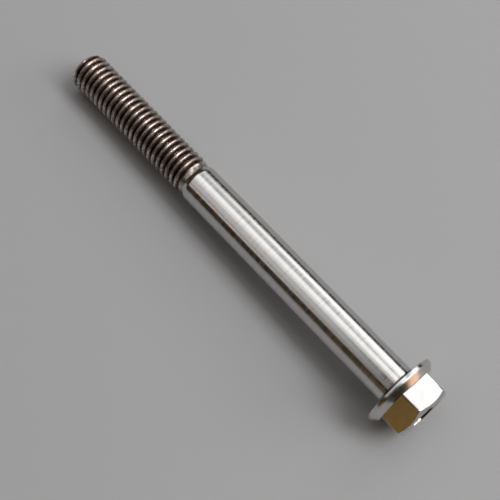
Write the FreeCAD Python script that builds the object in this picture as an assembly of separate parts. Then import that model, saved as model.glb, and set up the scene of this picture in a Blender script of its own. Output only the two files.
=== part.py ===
import FreeCAD, Part
import math
import os

# A hexagon flange bolt, M6 with a 1 mm pitch and 65 mm long under the head, in one piece of steel.
# Millimetres. It lies at rest on its flange and on the crests near its threaded end, with +Z up and
# +X along the bolt towards the head. The origin is the middle of the bounding box, on the floor.
#
# It is modelled upright on its own axis first. Heights run along that axis from the bearing face
# under the flange: the head is above zero and the threaded end is below it. Angles about the axis
# start at the line that points up once the bolt lies down, and turn towards -Y.

# Thread, a groove of this angle between flat crests
PITCH = 1.0
THREAD_DIAMETER = 5.82
THREAD_ANGLE = 60.0
CREST_WIDTH = 0.39
THREAD_LENGTH = 24.3
RUN_OUT_LENGTH = 0.9
FIRST_CREST = 0.26

# End of the bolt
NOMINAL_LENGTH = 65.0
END_DIAMETER = 4.7
END_CHAMFER_ANGLE = 45.0

# Neck and plain shank
NECK_DIAMETER = 5.35
NECK_LENGTH = 0.6
NECK_CONE_LENGTH = 0.65
SHANK_DIAMETER = 5.88
UNDERHEAD_RADIUS = 0.45

# Flange
FLANGE_DIAMETER = 10.8
RIM_THICKNESS = 0.53
FLANGE_THICKNESS = 1.38
FLANGE_CONE_ANGLE = 48.0
RIM_EDGE_CHAMFER = 0.06

# Hexagon
ACROSS_FLATS = 8.0
HEAD_HEIGHT = 4.8
HEX_END_DIAMETER = 7.4
HEX_CHAMFER_ANGLE = 30.0
HEX_EDGE_RADIUS = 0.12
HEX_TURN = 15.4
DISH_DIAMETER = 5.8
DISH_FLOOR_DIAMETER = 5.3
DISH_DEPTH = 0.5

# How finely each turn of the thread follows its helix, the turns that are cut away at each end, and
# how far a cutting form runs past the metal
HELIX_POINTS = 16
SPARE_TURNS = 2
MARGIN = 0.25

# Working values
AXIS = FreeCAD.Vector(0, 0, 1)
CENTRE = FreeCAD.Vector(0, 0, 0)
END_HEIGHT = -NOMINAL_LENGTH
THREAD_TOP = END_HEIGHT + THREAD_LENGTH
NECK_TOP = THREAD_TOP + NECK_LENGTH
SHANK_BOTTOM = NECK_TOP + NECK_CONE_LENGTH
CREST_RADIUS = THREAD_DIAMETER / 2
FLANK_HEIGHT = (PITCH - CREST_WIDTH) / 2
ROOT_RADIUS = CREST_RADIUS - FLANK_HEIGHT / math.tan(math.radians(THREAD_ANGLE / 2))
NECK_RADIUS = NECK_DIAMETER / 2
SHANK_RADIUS = SHANK_DIAMETER / 2
FLANGE_RADIUS = FLANGE_DIAMETER / 2


def point(radius, height):
    return FreeCAD.Vector(radius, 0, height)


def turned(outline):
    """The solid that a closed outline of edges sweeps in a full turn about the axis."""
    return Part.Face(Part.Wire(outline)).revolve(CENTRE, AXIS, 360)


def polygon(points):
    """Straight edges through the given points and back to the first."""
    return [Part.makeLine(start, end) for start, end in zip(points, points[1:] + points[:1])]


def one_turn(radius, height):
    """One turn of a right-hand helix, or of the axis itself where the radius is zero."""
    if radius == 0:
        return Part.makeLine(point(0, height), point(0, height + PITCH))
    step = 2 * math.pi / HELIX_POINTS
    angles = [step * index for index in range(HELIX_POINTS + 1)]
    climb = PITCH / (2 * math.pi)
    points = [
        FreeCAD.Vector(radius * math.cos(angle), radius * math.sin(angle), height + climb * angle)
        for angle in angles
    ]
    tangent = FreeCAD.Vector(0, radius, climb)
    curve = Part.BSplineCurve()
    curve.interpolate(
        Points=points, Parameters=angles, InitialTangent=tangent, FinalTangent=tangent, Scale=False
    )
    return curve.toShape()


def threaded_rod():
    """A rod with the thread's true section all along it, longer than the thread at both ends."""
    half_crest = CREST_WIDTH / 2
    section = [
        (ROOT_RADIUS, -half_crest - FLANK_HEIGHT),
        (CREST_RADIUS, -half_crest),
        (CREST_RADIUS, half_crest),
        (ROOT_RADIUS, half_crest + FLANK_HEIGHT),
    ]
    turns = math.ceil(THREAD_LENGTH / PITCH) + 2 * SPARE_TURNS
    bottom = END_HEIGHT + FIRST_CREST - SPARE_TURNS * PITCH
    faces = []
    for turn in range(turns):
        base = bottom + turn * PITCH
        for (radius, rise), (next_radius, next_rise) in zip(section, section[1:]):
            lower = one_turn(radius, base + rise)
            upper = one_turn(next_radius, base + next_rise)
            faces.append(Part.makeRuledSurface(lower, upper))
    for base in (bottom, bottom + turns * PITCH):
        start = base + section[0][1]
        faces.append(Part.makeRuledSurface(one_turn(0, start), one_turn(ROOT_RADIUS, start)))
        outline = [point(0, start)]
        outline += [point(radius, base + rise) for radius, rise in section]
        outline += [point(0, start + PITCH)]
        faces.append(Part.Face(Part.Wire(polygon(outline))))
    shell = Part.Shell(faces)
    shell.sewShape()
    rod = Part.Solid(shell)
    if rod.Volume < 0:
        rod.reverse()
    return rod


def thread():
    """The rod cut to length, chamfered at the end and run out towards the neck."""
    past_crest = CREST_RADIUS + MARGIN
    end_radius = END_DIAMETER / 2
    chamfer_slope = math.tan(math.radians(END_CHAMFER_ANGLE))
    run_out_slope = RUN_OUT_LENGTH / (CREST_RADIUS - NECK_RADIUS)
    below_neck = (NECK_RADIUS + ROOT_RADIUS) / 2
    limit = turned(polygon([
        point(0, END_HEIGHT),
        point(end_radius, END_HEIGHT),
        point(past_crest, END_HEIGHT + (past_crest - end_radius) * chamfer_slope),
        point(past_crest, THREAD_TOP - (past_crest - NECK_RADIUS) * run_out_slope),
        point(below_neck, THREAD_TOP + (NECK_RADIUS - below_neck) * run_out_slope),
        point(0, THREAD_TOP + (NECK_RADIUS - below_neck) * run_out_slope),
    ]))
    return threaded_rod().common(limit)


def shank_and_flange():
    """Run-out core, neck, cone, plain shank, rounding under the head and flange, as one turned form."""
    core_radius = ROOT_RADIUS - MARGIN
    core_slope = RUN_OUT_LENGTH / (NECK_RADIUS - ROOT_RADIUS)
    cone_height = FLANGE_THICKNESS - RIM_THICKNESS
    flat_radius = FLANGE_RADIUS - cone_height / math.tan(math.radians(FLANGE_CONE_ANGLE))
    fillet_start = point(SHANK_RADIUS, -UNDERHEAD_RADIUS)
    fillet_end = point(SHANK_RADIUS + UNDERHEAD_RADIUS, 0)
    sag = UNDERHEAD_RADIUS * (1 - math.sqrt(0.5))
    fillet_middle = point(SHANK_RADIUS + sag, -sag)
    fillet = Part.Arc(fillet_start, fillet_middle, fillet_end).toBSpline().toShape()
    outline = [
        fillet_end,
        point(FLANGE_RADIUS - RIM_EDGE_CHAMFER, 0),
        point(FLANGE_RADIUS, RIM_EDGE_CHAMFER),
        point(FLANGE_RADIUS, RIM_THICKNESS),
        point(flat_radius, FLANGE_THICKNESS),
        point(0, FLANGE_THICKNESS),
        point(0, THREAD_TOP - (NECK_RADIUS - core_radius) * core_slope),
        point(core_radius, THREAD_TOP - (NECK_RADIUS - core_radius) * core_slope),
        point(NECK_RADIUS, THREAD_TOP),
        point(NECK_RADIUS, NECK_TOP),
        point(SHANK_RADIUS, SHANK_BOTTOM),
        fillet_start,
    ]
    return turned(polygon(outline)[:-1] + [fillet])


def hexagon():
    """The hexagon with its rounded edges, chamfered and dished at the end."""
    corner_radius = ACROSS_FLATS / math.sqrt(3)
    end_radius = HEX_END_DIAMETER / 2
    base = RIM_THICKNESS
    corners = []
    for index in range(6):
        angle = math.radians(HEX_TURN + 60 * index)
        outward = FreeCAD.Vector(math.cos(angle), math.sin(angle), 0)
        corners.append(outward * corner_radius + AXIS * base)
    prism = Part.Face(Part.Wire(polygon(corners))).extrude(AXIS * (HEAD_HEIGHT - base))
    upright = [edge for edge in prism.Edges if abs(edge.tangentAt(edge.FirstParameter).z) > 0.5]
    prism = prism.makeFillet(HEX_EDGE_RADIUS, upright)
    past_corner = corner_radius + MARGIN
    drop = (past_corner - end_radius) * math.tan(math.radians(HEX_CHAMFER_ANGLE))
    chamfer = turned(polygon([
        point(0, base),
        point(past_corner, base),
        point(past_corner, HEAD_HEIGHT - drop),
        point(end_radius, HEAD_HEIGHT),
        point(0, HEAD_HEIGHT),
    ]))
    dish_radius = DISH_DIAMETER / 2
    floor_radius = DISH_FLOOR_DIAMETER / 2
    widening = (dish_radius - floor_radius) / DISH_DEPTH
    dish = turned(polygon([
        point(0, HEAD_HEIGHT - DISH_DEPTH),
        point(floor_radius, HEAD_HEIGHT - DISH_DEPTH),
        point(dish_radius + MARGIN * widening, HEAD_HEIGHT + MARGIN),
        point(0, HEAD_HEIGHT + MARGIN),
    ]))
    return prism.common(chamfer).cut(dish)


def lying_down():
    """The placement that lays the upright bolt on the floor, on its rim and its lowest crest."""
    chamfer_length = (CREST_RADIUS - END_DIAMETER / 2) * math.tan(math.radians(END_CHAMFER_ANGLE))
    lowest_crest = FIRST_CREST + PITCH / 2
    short_by = chamfer_length + CREST_WIDTH / 2 - lowest_crest
    lowest_crest += PITCH * math.ceil(short_by / PITCH)
    rest_length = RIM_EDGE_CHAMFER + NOMINAL_LENGTH - lowest_crest
    tilt = math.atan((FLANGE_RADIUS - CREST_RADIUS) / rest_length)
    along = FreeCAD.Vector(math.cos(tilt), 0, math.sin(tilt))
    upward = FreeCAD.Vector(-math.sin(tilt), 0, math.cos(tilt))
    sideways = FreeCAD.Vector(0, -1, 0)
    rear = along.x * END_HEIGHT + upward.x * END_DIAMETER / 2
    front = along.x * HEAD_HEIGHT - upward.x * HEX_END_DIAMETER / 2
    lowest = along.z * RIM_EDGE_CHAMFER - upward.z * FLANGE_RADIUS
    matrix = FreeCAD.Matrix(
        upward.x, sideways.x, along.x, -(rear + front) / 2,
        upward.y, sideways.y, along.y, 0,
        upward.z, sideways.z, along.z, -lowest,
        0, 0, 0, 1,
    )
    return FreeCAD.Placement(matrix)


def flange_bolt():
    bolt = shank_and_flange().fuse([thread(), hexagon()])
    solid = bolt.Solids[0]
    solid.Placement = lying_down()
    return solid


os.makedirs("parts", exist_ok=True)
bolt = flange_bolt()
bolt.exportStep("parts/flange_bolt.step")
print("valid", bolt.isValid(), "volume", round(bolt.Volume, 2))
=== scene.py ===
"""A hexagon flange bolt of ground steel with a rolled thread, lying at rest in a plain studio.

The bolt is modelled upright in millimetres, as a turner would draw it: heights run along its own axis
from the bearing face under the flange, with the head above zero and the threaded end below. It is then
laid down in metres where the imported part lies.
"""

import math

import bmesh
import bpy
from mathutils import Matrix, Vector


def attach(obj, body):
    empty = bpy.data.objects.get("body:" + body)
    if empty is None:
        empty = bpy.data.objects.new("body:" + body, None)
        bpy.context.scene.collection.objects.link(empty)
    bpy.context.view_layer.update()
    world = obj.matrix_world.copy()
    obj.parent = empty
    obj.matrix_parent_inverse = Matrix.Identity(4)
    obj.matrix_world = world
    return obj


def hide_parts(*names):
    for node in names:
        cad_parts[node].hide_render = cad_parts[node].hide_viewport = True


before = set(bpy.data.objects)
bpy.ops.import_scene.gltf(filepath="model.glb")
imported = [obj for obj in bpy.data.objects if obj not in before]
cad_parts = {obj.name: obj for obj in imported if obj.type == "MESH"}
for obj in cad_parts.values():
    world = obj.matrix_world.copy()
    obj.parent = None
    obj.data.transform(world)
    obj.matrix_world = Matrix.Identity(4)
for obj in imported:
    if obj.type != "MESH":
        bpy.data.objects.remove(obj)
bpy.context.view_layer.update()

bl_info = {
    "name": "Flange Bolt",
    "version": (1, 0, 0),
    "blender": (4, 5, 0),
    "location": "View3D > Sidebar > Flange Bolt",
    "description": "Makes a hexagon flange bolt and the studio that it lies in",
    "category": "Object",
}

MM = 0.001
AXIS = Vector((0.0, 0.0, 1.0))
ORIGIN = Vector((0.0, 0.0, 0.0))


def size(name, default, description):
    """A length in millimetres, kept as a plain number because the bolt is modelled in them."""
    return bpy.props.FloatProperty(name=name, default=default, description=description, min=0.0)


def tint(name, default, description, brightest=1.0):
    return bpy.props.FloatVectorProperty(
        name=name, subtype="COLOR", default=default, description=description, min=0.0, max=brightest,
    )


def factor(name, default, description):
    return bpy.props.FloatProperty(
        name=name, subtype="FACTOR", default=default, description=description, min=0.0, max=1.0,
    )


class BoltSizes(bpy.types.PropertyGroup):
    """Millimetres, as a bolt is drawn."""

    pitch: size("Pitch", 1.0, "Distance between neighbouring crests")
    thread_diameter: size("Thread diameter", 5.82, "Diameter over the crests")
    crest_width: size("Crest width", 0.22, "Width of each crest before its edges are rounded")
    crest_rounding: size("Crest rounding", 0.08, "Rounding of the two edges of each crest")
    root_radius: size("Root radius", 0.12, "Radius of the rolled root between two flanks")
    thread_length: size("Thread length", 24.3, "From the end of the bolt to the neck")
    run_out_length: size("Run-out", 0.9, "Length over which the last crests die away")
    first_crest: size("First crest", 0.26, "From the end of the bolt to the crest on top of it")
    nominal_length: size("Length", 65.0, "From the bearing face to the end of the bolt")
    end_diameter: size("End diameter", 4.7, "Diameter of the flat end inside its chamfer")
    neck_diameter: size("Neck diameter", 5.35, "Diameter of the blank that the thread is rolled on")
    neck_length: size("Neck length", 0.6, "Length of the bare blank above the thread")
    neck_cone_length: size("Neck cone", 0.65, "Length of the cone from the neck to the shank")
    neck_rounding: size("Neck rounding", 0.15, "Rounding at both ends of that cone")
    shank_diameter: size("Shank diameter", 5.88, "Diameter of the plain shank")
    underhead_radius: size("Under-head radius", 0.45, "Rounding between shank and bearing face")
    flange_diameter: size("Flange diameter", 10.8, "Diameter of the flange")
    rim_thickness: size("Rim thickness", 0.53, "Height of the flange's upright rim")
    rim_rounding: size("Rim rounding", 0.06, "Rounding of the flange's lower edge, twice that of its upper")
    flange_thickness: size("Flange thickness", 1.38, "From the bearing face to the foot of the hexagon")
    across_flats: size("Across flats", 8.0, "Distance between opposite sides of the hexagon")
    corner_rounding: size("Corner rounding", 0.07, "Rounding of the hexagon's six upright edges")
    head_height: size("Head height", 4.8, "From the bearing face to the top of the head")
    chamfer_rounding: size("Chamfer rounding", 0.05, "Rounding where the chamfer meets the sides")
    hex_end_diameter: size("End circle", 7.4, "Diameter of the flat ring on top of the head")
    ring_rounding: size("Ring rounding", 0.08, "Rounding of the outer and the inner edge of that ring")
    dish_diameter: size("Dish diameter", 5.8, "Mouth of the shallow dish in the head")
    dish_floor_diameter: size("Dish floor", 5.3, "Floor of the dish")
    dish_depth: size("Dish depth", 0.5, "Depth of the dish")
    dish_rounding: size("Dish rounding", 0.15, "Rounding between the wall and the floor of the dish")


class SteelFinish(bpy.types.PropertyGroup):
    """Colours and polish of the one steel, which is ground on the shank and dark in the thread."""

    steel: tint("Steel", (0.61, 0.602, 0.595), "Colour of the ground steel")
    thread: tint("Thread", (0.56, 0.5, 0.46), "Colour of the thread's crests")
    # Partly oxidised steel and partly painted shade: the colour that the thread's roots are painted
    valley: tint("Thread roots", (0.075, 0.04, 0.03), "Colour of the oxide left in the thread's roots")
    # Painted shade: the dark colour of the rounding under the head stands in for shade and dark reflections
    # in that corner
    corner: tint(
        "Corner", (0.16, 0.14, 0.13),
        "Colour of the rounding under the head, which the grinding wheel doesn't reach",
    )
    shank_roughness: factor("Shank roughness", 0.2, "Roughness of the ground shank")
    head_roughness: factor("Head roughness", 0.13, "Roughness of the formed head")
    thread_roughness: factor("Thread roughness", 0.27, "Roughness of the rolled thread")


class StudioSettings(bpy.types.PropertyGroup):
    """Floor, surroundings and camera."""

    floor: tint("Floor", (0.332, 0.332, 0.337), "Colour of the plain floor")
    room: tint("Room", (0.035, 0.024, 0.014), "Colour of the dim room above and behind the lamps")
    furniture: tint(
        "Furniture", (0.235, 0.142, 0.046), "Colour of the furniture low in front of the bolt",
    )
    glow: tint(
        "Glow", (1.6, 0.95, 0.55), "Colour and strength of the warm light low behind the head",
        brightest=10.0,
    )
    daylight: tint(
        "Daylight", (2.2, 2.15, 2.1), "Colour and strength of the daylight low behind the bolt",
        brightest=10.0,
    )
    lens: bpy.props.FloatProperty(
        name="Lens", unit="CAMERA", default=70.7, min=1.0,
        description="Focal length of the camera in millimetres",
    )
    camera_azimuth: bpy.props.FloatProperty(
        name="Azimuth", subtype="ANGLE", unit="ROTATION", default=math.radians(48.24),
        description="Turn of the camera round the bolt from its side",
    )
    camera_elevation: bpy.props.FloatProperty(
        name="Elevation", subtype="ANGLE", unit="ROTATION", default=math.radians(70.08),
        description="Height of the camera above the floor, as an angle",
    )
    camera_distance: bpy.props.FloatProperty(
        name="Distance", subtype="DISTANCE", unit="LENGTH", default=0.1389, min=0.01,
        description="From the camera to the place on the floor that it looks at",
    )
    camera_target: bpy.props.FloatVectorProperty(
        name="Target", subtype="XYZ", unit="LENGTH", default=(0.00175, -0.00031, 0.0),
        description="Place on the floor that the camera looks at",
    )


def sizes():
    return bpy.context.scene.bolt_sizes


def steel_finish():
    return bpy.context.scene.bolt_finish


def studio():
    return bpy.context.scene.bolt_studio


# Shapes of the bolt. Angles about its axis start at the line that points up once it lies down
HEX_TURN = math.radians(15.4)
THREAD_ANGLE = math.radians(60.0)
END_CHAMFER_ANGLE = math.radians(45.0)
FLANGE_CONE_ANGLE = math.radians(48.0)
HEX_CHAMFER_ANGLE = math.radians(30.0)
SHARP_EDGE = math.radians(30.0)

# How finely they are divided
THREAD_STEPS = 96
TURNED_STEPS = 192
ROOT_SEGMENTS = 6
CREST_SEGMENTS = 3
UNDERHEAD_SEGMENTS = 8
CORNER_SEGMENTS = 4
EDGE_SEGMENTS = 3
FLANK_CUTS = 3
SIDE_CUTS = 15

# In millimetres: edges longer than these are flanks of the thread and sides of the hexagon, the gap is
# bridged between thread and neck, and vertices this near each other are one
FLANK_LENGTH = 0.2
SIDE_LENGTH = 1.0
NECK_GAP = 0.05
NEAR = 1e-3

# Turns of thread that are cut away at each end
SPARE_TURNS = 2


def lay_down():
    """The transform from the upright bolt in millimetres to the bolt on the floor in metres."""
    s = sizes()
    flange = s.flange_diameter / 2
    thread = s.thread_diameter / 2
    rest_length = s.rim_rounding + s.nominal_length - s.first_crest - s.pitch / 2
    tilt = math.atan((flange - thread) / rest_length)
    along = Vector((math.cos(tilt), 0.0, math.sin(tilt)))
    upward = Vector((-math.sin(tilt), 0.0, math.cos(tilt)))
    sideways = Vector((0.0, -1.0, 0.0))
    turn = Matrix((upward, sideways, along)).transposed().to_4x4()
    rear = along.x * -s.nominal_length + upward.x * s.end_diameter / 2
    front = along.x * s.head_height - upward.x * s.hex_end_diameter / 2
    lowest = along.z * s.rim_rounding - upward.z * flange
    place = Matrix.Translation((-(rear + front) / 2, 0.0, -lowest))
    return Matrix.Diagonal((MM, MM, MM, 1.0)) @ place @ turn


def wire(mesh, points):
    """A chain of edges through points given as radius and height. Returns its vertices."""
    verts = [mesh.verts.new((radius, 0.0, height)) for radius, height in points]
    for start, end in zip(verts, verts[1:]):
        mesh.edges.new((start, end))
    return verts


def round_off(mesh, verts, length, segments):
    """Rounds corners of a wire, starting this far along its edges."""
    bmesh.ops.bevel(
        mesh, geom=verts, offset=length, offset_type="OFFSET", segments=segments, profile=0.5,
        affect="VERTICES", material=-1,
    )


def radius_of(vert):
    return math.hypot(vert.co.x, vert.co.y)


def set_radius(vert, radius):
    scale = radius / radius_of(vert)
    vert.co.x *= scale
    vert.co.y *= scale


def split_by_height(edges, height):
    """The edges below this height, and those above it."""
    low = [edge for edge in edges if edge.verts[0].co.z < height]
    high = [edge for edge in edges if edge.verts[0].co.z > height]
    return low, high


def add_thread(mesh):
    """A tube with the thread's section, screwed round the axis and cut to length. Its end is closed,
    and its open ring towards the neck is returned.
    """
    s = sizes()
    crest = s.thread_diameter / 2
    neck = s.neck_diameter / 2
    end_height = -s.nominal_length
    top = end_height + s.thread_length
    half_angle = THREAD_ANGLE / 2
    sharp_root = crest - (s.pitch - s.crest_width) / 2 / math.tan(half_angle)
    start = end_height + s.first_crest - SPARE_TURNS * s.pitch
    section = wire(mesh, [
        (crest, start),
        (crest, start + s.crest_width / 2),
        (sharp_root, start + s.pitch / 2),
        (crest, start + s.pitch - s.crest_width / 2),
        (crest, start + s.pitch),
    ])
    round_off(mesh, [section[2]], s.root_radius / math.tan(half_angle), ROOT_SEGMENTS)
    round_off(mesh, [section[1], section[3]], s.crest_rounding, CREST_SEGMENTS)
    flanks = [edge for edge in mesh.edges if edge.calc_length() > FLANK_LENGTH]
    bmesh.ops.subdivide_edges(mesh, edges=flanks, cuts=FLANK_CUTS)
    bmesh.ops.spin(
        mesh, geom=mesh.verts[:] + mesh.edges[:], cent=ORIGIN, axis=AXIS,
        dvec=AXIS * s.pitch / THREAD_STEPS, angle=2 * math.pi, steps=THREAD_STEPS,
        use_merge=False, use_duplicate=False,
    )
    turn = mesh.verts[:] + mesh.edges[:] + mesh.faces[:]
    for count in range(1, math.ceil(s.thread_length / s.pitch) + 2 * SPARE_TURNS):
        copy = bmesh.ops.duplicate(mesh, geom=turn)["geom"]
        verts = [item for item in copy if isinstance(item, bmesh.types.BMVert)]
        bmesh.ops.translate(mesh, verts=verts, vec=AXIS * s.pitch * count)
    bmesh.ops.remove_doubles(mesh, verts=mesh.verts, dist=NEAR)
    for height, side in ((end_height, -1.0), (top, 1.0)):
        bmesh.ops.bisect_plane(
            mesh, geom=mesh.verts[:] + mesh.edges[:] + mesh.faces[:], dist=NEAR / 10,
            plane_co=(0.0, 0.0, height), plane_no=AXIS * side, clear_outer=True,
        )
    bottom = sharp_root + s.root_radius
    for vert in mesh.verts:
        up_from_end = vert.co.z - end_height
        down_from_top = top - vert.co.z
        chamfer = s.end_diameter / 2 + up_from_end / math.tan(END_CHAMFER_ANGLE)
        fading = neck + down_from_top * (crest - neck) / s.run_out_length
        core = neck - down_from_top * (neck - bottom) / s.run_out_length
        set_radius(vert, min(max(radius_of(vert), core), chamfer, fading))
    open_edges = [edge for edge in mesh.edges if edge.is_boundary]
    end_ring, top_ring = split_by_height(open_edges, (end_height + top) / 2)
    bmesh.ops.contextual_create(mesh, geom=end_ring)
    return top_ring


def add_turned_part(mesh):
    """Neck, shank and flange, turned round the axis. Returns its two open rings."""
    s = sizes()
    neck = s.neck_diameter / 2
    shank = s.shank_diameter / 2
    rim = s.flange_diameter / 2
    thread_top = -s.nominal_length + s.thread_length
    neck_top = thread_top + s.neck_length
    cone = (s.flange_thickness - s.rim_thickness) / math.tan(FLANGE_CONE_ANGLE)
    before = set(mesh.verts)
    outline = wire(mesh, [
        (neck, thread_top + NECK_GAP),
        (neck, neck_top),
        (shank, neck_top + s.neck_cone_length),
        (shank, 0.0),
        (rim, 0.0),
        (rim, s.rim_thickness),
        (rim - cone, s.flange_thickness),
    ])
    round_off(mesh, [outline[3]], s.underhead_radius, UNDERHEAD_SEGMENTS)
    round_off(mesh, [outline[1], outline[2]], s.neck_rounding, CORNER_SEGMENTS)
    round_off(mesh, [outline[4]], s.rim_rounding, CORNER_SEGMENTS)
    round_off(mesh, [outline[5]], s.rim_rounding / 2, CORNER_SEGMENTS)
    verts = [vert for vert in mesh.verts if vert not in before]
    edges = [edge for edge in mesh.edges if edge.verts[0] not in before]
    bmesh.ops.spin(
        mesh, geom=verts + edges, cent=ORIGIN, axis=AXIS, angle=2 * math.pi,
        steps=TURNED_STEPS, use_merge=True, use_duplicate=False,
    )
    made = [edge for edge in mesh.edges if edge.is_boundary and edge.verts[0] not in before]
    return split_by_height(made, -s.nominal_length / 2)


def add_hexagon(mesh):
    """The hexagon, its chamfer and the dish. Returns the ring at its foot."""
    s = sizes()
    corner = s.across_flats / math.sqrt(3.0)
    end_circle = s.hex_end_diameter / 2
    before = set(mesh.verts)
    first = mesh.verts.new((corner * math.cos(HEX_TURN), corner * math.sin(HEX_TURN), s.flange_thickness))
    bmesh.ops.spin(
        mesh, geom=[first], cent=ORIGIN, axis=AXIS, angle=2 * math.pi, steps=6,
        use_merge=True, use_duplicate=False,
    )
    corners = [vert for vert in mesh.verts if vert not in before]
    round_off(mesh, corners, s.corner_rounding, CORNER_SEGMENTS)
    ring = [edge for edge in mesh.edges if edge.verts[0] not in before]
    sides = [edge for edge in ring if edge.calc_length() > SIDE_LENGTH]
    bmesh.ops.subdivide_edges(mesh, edges=sides, cuts=SIDE_CUTS)
    foot = [edge for edge in mesh.edges if edge.verts[0] not in before and not edge.link_faces]

    def raised(edges, shape):
        made = bmesh.ops.extrude_edge_only(mesh, edges=edges)["geom"]
        for vert in [item for item in made if isinstance(item, bmesh.types.BMVert)]:
            shape(vert)
        return [item for item in made if isinstance(item, bmesh.types.BMEdge) and item.is_boundary]

    def to_chamfer(vert):
        inside = (radius_of(vert) - end_circle) * math.tan(HEX_CHAMFER_ANGLE)
        vert.co.z = s.head_height - max(inside, 0.0)

    def to_circle(radius, height):
        def place(vert):
            set_radius(vert, radius)
            vert.co.z = height
        return place

    chamfer_edge = raised(foot, to_chamfer)
    end_edge = raised(chamfer_edge, to_circle(end_circle, s.head_height))
    mouth = raised(end_edge, to_circle(s.dish_diameter / 2, s.head_height))
    floor = raised(mouth, to_circle(s.dish_floor_diameter / 2, s.head_height - s.dish_depth))
    bmesh.ops.contextual_create(mesh, geom=floor)
    bmesh.ops.recalc_face_normals(
        mesh, faces=[face for face in mesh.faces if face.verts[0] not in before]
    )
    for edges, length in (
        (chamfer_edge, s.chamfer_rounding),
        (end_edge, s.ring_rounding),
        (mouth, s.ring_rounding),
        (floor, s.dish_rounding),
    ):
        bmesh.ops.bevel(
            mesh, geom=[edge for edge in edges if edge.is_valid], offset=length, loop_slide=True,
            offset_type="OFFSET", segments=EDGE_SEGMENTS, profile=0.5, affect="EDGES", material=-1,
        )
    return [edge for edge in foot if edge.is_valid]


class Graph:
    """Adds nodes to one node tree. Inputs are given by name, as values or as another node's socket."""

    def __init__(self, tree):
        self.tree = tree

    def node(self, kind, inputs, **settings):
        made = self.tree.nodes.new(kind)
        for name, value in settings.items():
            setattr(made, name, value)
        self.feed(made, inputs)
        return made

    def feed(self, made, inputs):
        for name, value in inputs.items():
            socket = made.inputs[name]
            if isinstance(value, bpy.types.NodeSocket):
                self.tree.links.new(value, socket)
            else:
                socket.default_value = value

    def math(self, operation, *values):
        return self.node("ShaderNodeMath", dict(enumerate(values)), operation=operation).outputs[0]

    def ramp(self, value, start, end, low=0.0, high=1.0):
        """A value that goes smoothly from low to high while its source goes from start to end."""
        inputs = {0: value, 1: start, 2: end, 3: low, 4: high}
        return self.node("ShaderNodeMapRange", inputs, interpolation_type="SMOOTHSTEP").outputs[0]

    def noise(self, vector, stretch, detail):
        """Noise whose grain has this many waves per unit along each direction."""
        stretched = self.node("ShaderNodeVectorMath", {0: vector, 1: stretch}, operation="MULTIPLY")
        inputs = {"Vector": stretched.outputs[0], "Scale": 1.0, "Detail": detail, "Roughness": 0.6}
        return self.node("ShaderNodeTexNoise", inputs).outputs["Fac"]

    def between(self, amount, first, second):
        """A value between two others."""
        return self.node("ShaderNodeMix", {0: amount, 2: first, 3: second}).outputs[0]

    def blend(self, amount, first, second):
        """A colour between two others."""
        made = self.node("ShaderNodeMix", {0: amount}, data_type="RGBA")
        self.feed(made, {6: first, 7: second})
        return made.outputs[2]

    def bump(self, strength, distance, height, under=None):
        """A surface raised by up to this distance in metres, on top of the one under it."""
        inputs = {"Strength": strength, "Distance": distance, "Height": height}
        if under is not None:
            inputs["Normal"] = under
        return self.node("ShaderNodeBump", inputs).outputs[0]


def opaque(colour, share=1.0):
    """A colour as a node takes it, or this share of it."""
    return (*(share * part for part in colour), 1.0)


# Waves per millimetre of each pattern in the steel, along two directions across the bolt and along it
GRINDING_GRAIN = (0.2, 0.2, 5.0)
CLOUD_GRAIN = (0.45, 0.45, 0.45)
SWELL_GRAIN = (0.9, 0.9, 0.6)
STAIN_GRAIN = (2.2, 2.2, 2.2)

# The part of the steel's colour that its darker places have
DARKER = 0.86

# In millimetres: how softly one finish ends and the next begins, the depths below the crests at which the
# roots' dark oxidised colour and painted shade begin and are full, and where the painted shade in the
# corner under the head is still whole and where it is gone, as heights over the bearing face and as
# distances from the shank
FADE = 0.1
OXIDE_AND_SHADE_BEGINS, OXIDE_AND_SHADE_FULL = 0.08, 0.4
CORNER_FADE = 0.08
CORNER_WHOLE_HEIGHT, CORNER_GONE_HEIGHT = 0.2, 0.4
CORNER_WHOLE_REACH, CORNER_GONE_REACH = 0.6, 0.8

# Height in millimetres and strength of the grinding lines on the shank and of the hexagon's swell
LINE_HEIGHT, LINE_STRENGTH = 0.01, 0.2
SWELL_HEIGHT, SWELL_STRENGTH = 0.03, 0.6


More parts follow.
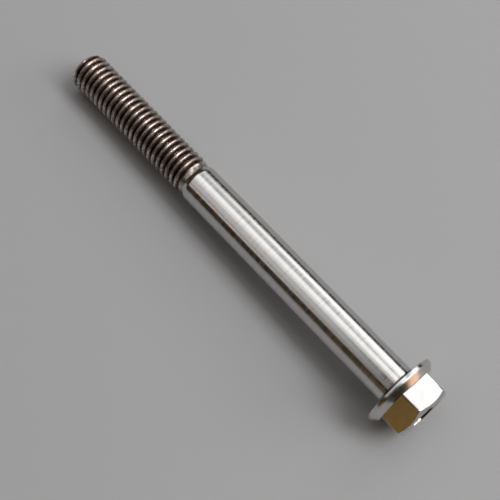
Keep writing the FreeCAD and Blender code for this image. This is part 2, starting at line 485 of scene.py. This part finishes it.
def steel_material():
    """Steel ground round the shank, smooth on the head, and darker and rougher down in the thread, its
    roots dark with oxidised steel and with painted shade, and painted shade in the corner under the head.
    """
    s = sizes()
    look = steel_finish()
    crest = s.thread_diameter / 2
    thread_top = -s.nominal_length + s.thread_length
    neck_top = thread_top + s.neck_length
    shank_side = s.shank_diameter / 2
    material = bpy.data.materials.new("ground_steel")
    material.use_nodes = True
    graph = Graph(material.node_tree)
    shader = material.node_tree.nodes["Principled BSDF"]

    place, turn, scale = lay_down().inverted().decompose()
    lying = graph.node("ShaderNodeTexCoord", {}).outputs["Object"]
    upright = graph.node("ShaderNodeMapping", {
        "Vector": lying, "Location": place, "Rotation": turn.to_euler(), "Scale": scale,
    }).outputs[0]
    across = graph.node("ShaderNodeVectorMath", {0: upright, 1: (1.0, 1.0, 0.0)}, operation="MULTIPLY")
    radius = graph.node("ShaderNodeVectorMath", {0: across.outputs[0]}, operation="LENGTH").outputs["Value"]
    height = graph.node("ShaderNodeSeparateXYZ", {0: upright}).outputs["Z"]

    in_thread = graph.ramp(height, thread_top - FADE, thread_top - 5 * FADE)
    bare = graph.ramp(height, neck_top + FADE, neck_top)
    in_hexagon = graph.ramp(height, s.flange_thickness - FADE, s.flange_thickness)
    # Painted shade, partly oxidised steel: the thread is painted darker the deeper it lies below the crests
    depth = graph.ramp(radius, crest - OXIDE_AND_SHADE_BEGINS, crest - OXIDE_AND_SHADE_FULL)
    valley = graph.math("MULTIPLY", in_thread, depth)
    # Painted shade in the corner under the head, on the rounding between the shank and the bearing face
    past_shank = graph.ramp(height, -s.underhead_radius - CORNER_FADE, -s.underhead_radius)
    low = graph.ramp(height, CORNER_GONE_HEIGHT, CORNER_WHOLE_HEIGHT)
    near = graph.ramp(radius, shank_side + CORNER_GONE_REACH, shank_side + CORNER_WHOLE_REACH)
    corner_shade = graph.math("MULTIPLY", graph.math("MULTIPLY", past_shank, low), near)

    grinding = graph.noise(upright, GRINDING_GRAIN, 3.0)
    clouds = graph.noise(upright, CLOUD_GRAIN, 2.0)
    waves = graph.noise(upright, SWELL_GRAIN, 1.0)
    stains = graph.noise(upright, STAIN_GRAIN, 4.0)

    steel = opaque(look.steel)
    darker = opaque(look.steel, DARKER)
    valleys = opaque(look.valley)
    ground = graph.blend(graph.ramp(grinding, 0.3, 0.6), darker, steel)
    clean = graph.blend(in_hexagon, ground, graph.blend(graph.ramp(clouds, 0.35, 0.65), darker, steel))
    worn = graph.blend(graph.ramp(stains, 0.4, 0.62, 0.0, 0.55), opaque(look.thread), valleys)
    crests = graph.blend(bare, clean, worn)
    # The roots get their oxidised colour and painted shade, a little patchy
    oxide_and_shade = graph.ramp(stains, 0.3, 0.6, 0.8, 1.0)
    thread = graph.blend(graph.math("MULTIPLY", valley, oxide_and_shade), crests, valleys)
    # The corner under the head is painted dark as shade
    colour = graph.blend(corner_shade, thread, opaque(look.corner))

    polish = graph.ramp(grinding, 0.3, 0.7, look.shank_roughness - 0.05, look.shank_roughness + 0.06)
    formed = graph.ramp(clouds, 0.3, 0.7, look.head_roughness - 0.03, look.head_roughness + 0.04)
    rolled = graph.ramp(stains, 0.3, 0.7, look.thread_roughness - 0.06, look.thread_roughness + 0.1)
    roughness = graph.between(bare, graph.between(in_hexagon, polish, formed), rolled)

    lines = graph.between(in_hexagon, grinding, 0.5)
    fine = graph.bump(LINE_STRENGTH, LINE_HEIGHT * MM, lines)
    swell = graph.between(in_hexagon, 0.5, waves)
    broad = graph.bump(SWELL_STRENGTH, SWELL_HEIGHT * MM, swell, under=fine)
    graph.feed(shader, {
        "Base Color": colour, "Metallic": 1.0, "Roughness": roughness, "Normal": broad,
    })
    return material


class BOLT_OT_make_bolt(bpy.types.Operator):
    """Make the flange bolt as one closed piece of steel"""

    bl_idname = "bolt.make_bolt"
    bl_label = "Make Flange Bolt"

    def execute(self, context):
        mesh = bmesh.new()
        thread_top = add_thread(mesh)
        neck_ring, flange_ring = add_turned_part(mesh)
        foot = add_hexagon(mesh)
        bmesh.ops.bridge_loops(mesh, edges=thread_top + neck_ring)
        bmesh.ops.bridge_loops(mesh, edges=flange_ring + foot)
        bmesh.ops.recalc_face_normals(mesh, faces=mesh.faces)
        for face in mesh.faces:
            face.smooth = True
        for edge in mesh.edges:
            edge.smooth = edge.calc_face_angle(0.0) < SHARP_EDGE
        bmesh.ops.transform(mesh, matrix=lay_down(), verts=mesh.verts)
        data = bpy.data.meshes.new("flange_bolt_steel")
        mesh.to_mesh(data)
        mesh.free()
        bolt = bpy.data.objects.new("flange_bolt_steel", data)
        context.scene.collection.objects.link(bolt)
        data.materials.append(steel_material())
        weighted = bolt.modifiers.new("weighted", "WEIGHTED_NORMAL")
        weighted.weight = 100
        weighted.keep_sharp = True
        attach(bolt, "root")
        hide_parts("flange_bolt")
        return {"FINISHED"}


# Half the floor's width, and the nearest that the camera sees, in metres
FLOOR_REACH = 6.0
NEAREST_SEEN = 0.01

FLOOR_ROUGHNESS = 0.9

# Patches of colour round the room: the way to the middle of each, and how far from its middle it
# begins to fade and is gone
FURNITURE = Vector((0.08, -0.97, 0.2)).normalized(), math.radians(9.0), math.radians(14.0)
WARM_LIGHT = Vector((0.87, 0.48, 0.06)).normalized(), math.radians(5.0), math.radians(22.0)
DAYLIGHT = Vector((0.64, 0.72, 0.26)).normalized(), math.radians(10.0), math.radians(14.0)

# Metres. Each lamp hangs a step lower than the one before, so that where two overlap both are mirrored
LAMP_HEIGHT = 0.8
LAMP_STEP = 0.005
NEUTRAL = (1.0, 1.0, 1.0)
PINK = (1.0, 0.78, 0.68)

# The lamps are level rectangles over the floor. For each: its name, its first and last angle across the
# bolt from straight above, its last angle towards the tip and towards the head, all in degrees, its
# radiance and its colour
LAMPS = (
    ("low front", -57.0, -52.0, -40.0, -23.0, 1.0, PINK),
    ("front", -55.5, -38.0, -40.0, -8.0, 0.43, NEUTRAL),
    ("front top", -38.0, -12.0, -40.0, -8.5, 0.68, NEUTRAL),
    ("top", -12.0, 3.0, -46.0, -5.0, 1.1, NEUTRAL),
    ("back top", 3.0, 24.0, -46.0, 40.0, 1.55, NEUTRAL),
    ("back", 24.0, 40.0, -46.0, 58.0, 0.58, NEUTRAL),
    ("low back", 40.0, 71.0, -46.0, 5.0, 0.93, NEUTRAL),
    ("low back edge", 51.0, 71.0, -35.0, 5.0, 1.1, NEUTRAL),
    ("window", 33.0, 57.0, -12.5, 8.0, 0.9, NEUTRAL),
    ("key", 16.0, 36.0, 10.0, 50.0, 8.4, NEUTRAL),
    ("glint", 26.0, 68.0, 46.0, 64.0, 3.2, NEUTRAL),
)


def add_lamp(scene, height, name, first, last, tip_side, head_side, radiance, colour):
    """A level rectangle at this height that spans these angles, seen from the bolt."""
    near, far = (height * math.tan(math.radians(angle)) for angle in (first, last))
    left, right = (height * math.tan(math.radians(angle)) for angle in (tip_side, head_side))
    lamp = bpy.data.lights.new(name, "AREA")
    lamp.shape = "RECTANGLE"
    lamp.size = right - left
    lamp.size_y = far - near
    lamp.color = colour
    lamp.energy = radiance * math.pi * lamp.size * lamp.size_y
    holder = bpy.data.objects.new(name, lamp)
    scene.collection.objects.link(holder)
    holder.location = ((left + right) / 2, (near + far) / 2, height)


def add_floor(scene):
    mesh = bmesh.new()
    bmesh.ops.create_grid(mesh, x_segments=1, y_segments=1, size=FLOOR_REACH)
    data = bpy.data.meshes.new("floor")
    mesh.to_mesh(data)
    mesh.free()
    floor = bpy.data.objects.new("floor", data)
    scene.collection.objects.link(floor)
    material = bpy.data.materials.new("floor")
    material.use_nodes = True
    shader = material.node_tree.nodes["Principled BSDF"]
    shader.inputs["Base Color"].default_value = opaque(studio().floor)
    shader.inputs["Roughness"].default_value = FLOOR_ROUGHNESS
    data.materials.append(material)


def add_room(scene):
    """A dim room with brown furniture low in front of the bolt, and a warm light and daylight behind."""
    world = bpy.data.worlds.new("room")
    scene.world = world
    world.use_nodes = True
    graph = Graph(world.node_tree)
    direction = graph.node("ShaderNodeTexCoord", {}).outputs["Generated"]
    set_up = studio()
    colour = opaque(set_up.room)
    for patch_colour, (centre, inner, outer) in (
        (set_up.furniture, FURNITURE), (set_up.glow, WARM_LIGHT), (set_up.daylight, DAYLIGHT),
    ):
        towards = graph.node("ShaderNodeVectorMath", {0: direction, 1: centre}, operation="DOT_PRODUCT")
        amount = graph.ramp(towards.outputs["Value"], math.cos(outer), math.cos(inner))
        colour = graph.blend(amount, colour, opaque(patch_colour))
    graph.feed(world.node_tree.nodes["Background"], {"Color": colour})


def add_camera(scene):
    set_up = studio()
    lens = bpy.data.cameras.new("camera")
    camera = bpy.data.objects.new("camera", lens)
    scene.collection.objects.link(camera)
    scene.camera = camera
    lens.lens = set_up.lens
    lens.clip_start = NEAREST_SEEN
    azimuth, elevation = set_up.camera_azimuth, set_up.camera_elevation
    back = Vector((
        math.sin(azimuth) * math.cos(elevation),
        -math.cos(azimuth) * math.cos(elevation),
        math.sin(elevation),
    ))
    camera.location = Vector(set_up.camera_target) + back * set_up.camera_distance
    camera.rotation_euler = (math.pi / 2 - elevation, 0.0, azimuth)


class BOLT_OT_make_stage(bpy.types.Operator):
    """Make the floor, the lamps, the room and the camera"""

    bl_idname = "bolt.make_stage"
    bl_label = "Make Studio"

    def execute(self, context):
        scene = context.scene
        add_floor(scene)
        for count, lamp in enumerate(LAMPS):
            add_lamp(scene, LAMP_HEIGHT - count * LAMP_STEP, *lamp)
        add_room(scene)
        add_camera(scene)
        scene.view_settings.view_transform = "Standard"
        return {"FINISHED"}


class BOLT_PT_panel(bpy.types.Panel):
    """Sizes, finish and studio of the bolt"""

    bl_idname = "BOLT_PT_panel"
    bl_label = "Flange Bolt"
    bl_space_type = "VIEW_3D"
    bl_region_type = "UI"
    bl_category = "Flange Bolt"

    def draw(self, context):
        layout = self.layout
        for group in (context.scene.bolt_sizes, context.scene.bolt_finish, context.scene.bolt_studio):
            for name in group.__annotations__:
                layout.prop(group, name)
        layout.operator(BOLT_OT_make_bolt.bl_idname)
        layout.operator(BOLT_OT_make_stage.bl_idname)


CLASSES = (
    BoltSizes, SteelFinish, StudioSettings, BOLT_OT_make_bolt, BOLT_OT_make_stage, BOLT_PT_panel,
)


def register():
    for each in CLASSES:
        bpy.utils.register_class(each)
    bpy.types.Scene.bolt_sizes = bpy.props.PointerProperty(type=BoltSizes)
    bpy.types.Scene.bolt_finish = bpy.props.PointerProperty(type=SteelFinish)
    bpy.types.Scene.bolt_studio = bpy.props.PointerProperty(type=StudioSettings)


def unregister():
    del bpy.types.Scene.bolt_sizes
    del bpy.types.Scene.bolt_finish
    del bpy.types.Scene.bolt_studio
    for each in reversed(CLASSES):
        bpy.utils.unregister_class(each)


def main():
    register()
    bpy.ops.bolt.make_bolt()
    bpy.ops.bolt.make_stage()


if __name__ == "__main__":
    main()
